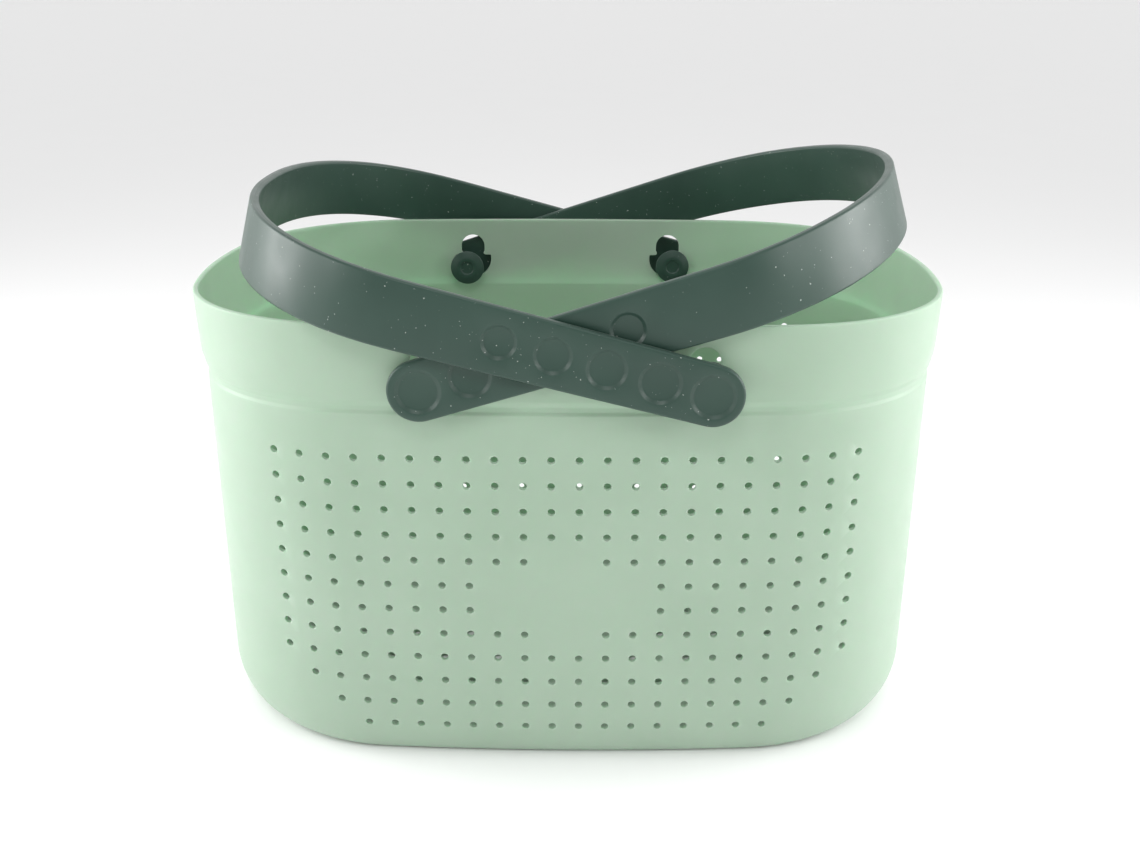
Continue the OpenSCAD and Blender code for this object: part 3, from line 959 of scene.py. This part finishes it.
def fan(loop_ids):
    """Triangles that close a flat round loop from its first point."""
    rest = loop_ids[1:]
    return np.stack([np.full(len(rest) - 1, loop_ids[0]), rest[:-1], rest[1:]], -1)


def leg_face(loop_ids, loop_points, leg_sign, leg_y, outer, first_id):
    """One flat face of a leg, filled round its recesses, and the recesses with their floors."""
    recesses = dimples if outer else bores
    level = leg_y + (STRAP_T / 2 if outer else -STRAP_T / 2)
    inward = -1 if outer else 1
    new, faces, holes, numbers = [], [], [], [loop_ids]
    for rings in recesses:
        ids = first_id + np.arange(rings[..., 0].size).reshape(rings.shape[:2])
        first_id += rings[..., 0].size
        new.append(np.stack([rings[..., 0], leg_sign * (level + inward * rings[..., 1]),
                             rings[..., 2]], -1).reshape(-1, 3))
        faces += [strips(ids), fan(ids[-1])]
        holes.append(rings[0][:, (0, 2)])
        numbers.append(ids[0])
    triangles = fill(bulged(loop_points[:, (0, 2)]), holes)
    faces.append(np.concatenate(numbers)[triangles])
    return np.concatenate(new), faces, first_id


def make_strap(name, shape, material):
    """Carries the edge round the outline, fills the flat faces and sinks the recesses. A station
    on the upper edge is joined straight across the face to the one below it on the lower
    edge."""
    leg_y, reach, square, side, angle = shape
    points, outward, across_all, count, end_count = edge_loop(leg_y, reach, square)
    out, rise = edge_profile()
    edge = points[:, None] + out[:, None] * outward[:, None] + rise[:, None] * across_all[:, None]
    ids = np.arange(edge[..., 0].size).reshape(edge.shape[:2])
    faces = [strips(ids.T)]
    lower = count + end_count + np.arange(count)[::-1]
    leg = LEG_STEPS + 1
    middle = np.arange(leg - 1, count - leg + 1)
    total = ids.size
    all_points = [edge.reshape(-1, 3)]
    for k in (0, ids.shape[1] - 1):
        row = ids[:, k]
        a, b = middle[:-1], middle[1:]
        faces.append(np.stack([row[a], row[b], row[lower[b]], row[lower[a]]], -1))
        near = np.concatenate([np.arange(len(points) - end_count, len(points)), np.arange(leg),
                               lower[:leg][::-1]])
        far = np.concatenate([np.arange(count - leg, count), count + np.arange(end_count),
                              lower[count - leg:][::-1]])
        for stations, leg_sign in ((near, 1), (far, -1)):
            loop_points = edge[stations, k]
            new, blocks, total = leg_face(row[stations], loop_points, leg_sign, leg_y,
                                          k == 0, total)
            all_points.append(new)
            faces += blocks
    local = np.concatenate(all_points)
    return make_piece(name, to_place(local, side, angle), faces, material)


outer_strap = make_strap("outer_carry_strap", OUTER_SHAPE, handle_plastic)
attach(outer_strap, "outer_handle")
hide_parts("outer_handle_strap")

inner_strap = make_strap("inner_carry_strap", INNER_SHAPE, handle_plastic)
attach(inner_strap, "inner_handle")
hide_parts("inner_handle_strap")

# %% [markdown]
# ## The studs
#
# A stud is turned round one axis, so it is one profile of radius and height, spun round. Each
# corner of the profile is rounded first, by swapping it for a short curve.

# %% The studs
NECK_R = 4.0
HEAD_R = 8.0
HEAD_BACK = 1.4
HEAD_SLOPE = 1.5
HEAD_EDGE = 0.6
HEAD_BEVEL = 1.0
HEAD_FLAT_R = 4.7
DISH_R = 3.25
DISH_DEPTH = 0.5
DISH_SLOPE = 0.3
ROOT_DEPTH = 1.3
HEAD_CLEAR = 0.9
CORNER_ROUND = 0.3
CORNER_SHARE = 0.4
CURVE_STEPS = 4
STUD_POINTS = 64

sag = LONG_SIDE_R - math.sqrt(LONG_SIDE_R ** 2 - PIVOT_X ** 2)
neck_len = OUTER_LEG_Y - STRAP_T / 2 - (HALF_DEPTH - sag - WALL) - HEAD_BACK + HEAD_CLEAR
print("a stud's neck is", round(neck_len, 2), "mm long")


def softened(corners, amount):
    """A profile with each inner corner swapped for a short parabola that starts and ends at most
    amount from the corner, or CORNER_SHARE of the way to the next one."""
    corner = corners[1:-1]
    ways = np.stack([corners[:-2], corners[2:]]) - corner
    length = np.linalg.norm(ways, axis=-1, keepdims=True)
    start, end = corner + ways * np.minimum(amount / length, CORNER_SHARE)
    t = np.linspace(0, 1, CURVE_STEPS + 1)[:, None, None]
    curve = (1 - t) ** 2 * start + 2 * t * (1 - t) * corner + t ** 2 * end
    return np.concatenate([corners[:1], curve.transpose(1, 0, 2).reshape(-1, 2), corners[-1:]])


def stud_profile():
    """Radius and height from the root's centre to the dish's centre. Height 0 is flush with the
    strap's inner face."""
    back = neck_len + HEAD_BACK
    top = back + HEAD_EDGE + HEAD_BEVEL
    return softened(np.array([
        [0.0, -ROOT_DEPTH], [NECK_R, -ROOT_DEPTH], [NECK_R, neck_len],
        [HEAD_R - HEAD_SLOPE * HEAD_BACK, neck_len], [HEAD_R, back],
        [HEAD_R, back + HEAD_EDGE], [HEAD_FLAT_R, top], [DISH_R, top],
        [DISH_R - DISH_SLOPE, top - DISH_DEPTH], [0.0, top - DISH_DEPTH]]), CORNER_ROUND)


def make_studs(name, leg_y, side, material):
    """Spins the profile round its axis, once for each leg, and closes it at both centres."""
    profile = stud_profile()
    u, v = circle(1.0, STUD_POINTS)
    radius, height = profile[1:-1, :1], profile[1:-1, 1:]
    points, faces, total = [], [], 0
    for leg_sign in (1, -1):
        y = np.broadcast_to(leg_sign * (leg_y - STRAP_T / 2 - height), (len(height), len(u)))
        body = np.stack([radius * u, y, radius * v], -1)
        ids = total + np.arange(body[..., 0].size).reshape(body.shape[:2])
        ends = leg_sign * (leg_y - STRAP_T / 2 - profile[(0, -1), 1])
        poles = np.stack([np.zeros(2), ends, np.zeros(2)], -1)
        points += [body.reshape(-1, 3), poles]
        faces.append(strips(ids))
        for pole, loop in ((0, ids[0]), (1, ids[-1])):
            pole_id = np.full(STUD_POINTS, total + ids.size + pole)
            faces.append(np.stack([pole_id, loop, np.roll(loop, -1)], -1))
        total += ids.size + 2
    local = np.concatenate(points)
    return make_piece(name, to_place(local, side, 0.0), faces, material)


outer_studs = make_studs("outer_handle_mushroom_studs", OUTER_LEG_Y, -1, handle_plastic)
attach(outer_studs, "outer_studs")
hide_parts("outer_handle_studs")

inner_studs = make_studs("inner_handle_mushroom_studs", INNER_LEG_Y, 1, handle_plastic)
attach(inner_studs, "inner_studs")
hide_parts("inner_handle_studs")

# %% [markdown]
# ## Floor and light
#
# The basket stands on a pale seamless floor between two large softboxes, left and right, so its
# ends shine and its front stays quieter. Three smaller softboxes in front pick out the handles
# and the collar. A white surround, brightest at the sides and the rear, fills the shadows.

# %% Floor
FLOOR_HALF_M = 40.0
FLOOR_WHITE = 0.92
FLOOR_PATCHES = 8
FLOOR_ROUGHNESS = (0.55, 0.65)


def make_floor():
    """A large pale floor with a faint, slow unevenness of its gloss."""
    material, tree, shader, place = new_finish("pale floor")
    shader.inputs["Base Color"].default_value = (FLOOR_WHITE, FLOOR_WHITE, FLOOR_WHITE, 1)
    patches = noise(tree, place, FLOOR_PATCHES, detail=2)
    gloss = spread(tree, patches, *GLOSS_BAND, *FLOOR_ROUGHNESS)
    tree.links.new(gloss, shader.inputs["Roughness"])
    corners = np.array([[-1, -1, 0], [1, -1, 0], [1, 1, 0], [-1, 1, 0]]) * FLOOR_HALF_M
    mesh = bpy.data.meshes.new("studio_floor")
    mesh.from_pydata(corners.tolist(), [], [(0, 1, 2, 3)])
    mesh.materials.append(material)
    floor = bpy.data.objects.new("studio_floor", mesh)
    bpy.context.collection.objects.link(floor)
    return floor


floor = make_floor()
print("the floor is", 2 * FLOOR_HALF_M, "m wide")

# %% Light
# Each softbox has its place and its width in metres, and its power in watts.
LIGHTS = (
    ("left_softbox", (-0.80, 0.02, 0.32), 0.42, 4.2),
    ("right_softbox", (0.80, 0.02, 0.32), 0.42, 3.8),
    ("left_front_softbox", (-0.80, -0.55, 0.42), 0.30, 2.1),
    ("right_front_softbox", (0.80, -0.55, 0.42), 0.30, 2.1),
    ("top_front_softbox", (0.0, -0.75, 0.95), 0.32, 1.9),
)
AIM = Vector((0, 0, 0.09))
SURROUND_FRONT = 0.38
SURROUND_BACK = 1.0
SURROUND_BAND = (-0.9, 0.1)


def make_softbox(name, place, size, power):
    """A square area light that faces the basket."""
    data = bpy.data.lights.new(name, "AREA")
    data.size = size
    data.energy = power
    light = bpy.data.objects.new(name, data)
    light.location = place
    light.rotation_euler = (AIM - Vector(place)).to_track_quat("-Z", "Y").to_euler()
    bpy.context.collection.objects.link(light)
    return light


softboxes = [make_softbox(*settings) for settings in LIGHTS]


def make_surround():
    """A white surround that is dim where it faces the basket's front, and grows to full
    brightness towards the sides and the rear, as the Y of its direction crosses a band."""
    world = bpy.data.worlds.new("surround")
    world.use_nodes = True
    tree = world.node_tree
    direction = tree.nodes.new("ShaderNodeTexCoord").outputs["Generated"]
    parts = tree.nodes.new("ShaderNodeSeparateXYZ")
    tree.links.new(direction, parts.inputs[0])
    level = spread(tree, parts.outputs["Y"], *SURROUND_BAND, SURROUND_FRONT, SURROUND_BACK)
    tree.links.new(level, tree.nodes["Background"].inputs["Strength"])
    tree.nodes["Background"].inputs["Color"].default_value = (1, 1, 1, 1)
    bpy.context.scene.world = world


make_surround()
bpy.context.scene.view_settings.view_transform = "Standard"
print(len(softboxes), "softboxes and a bright surround")
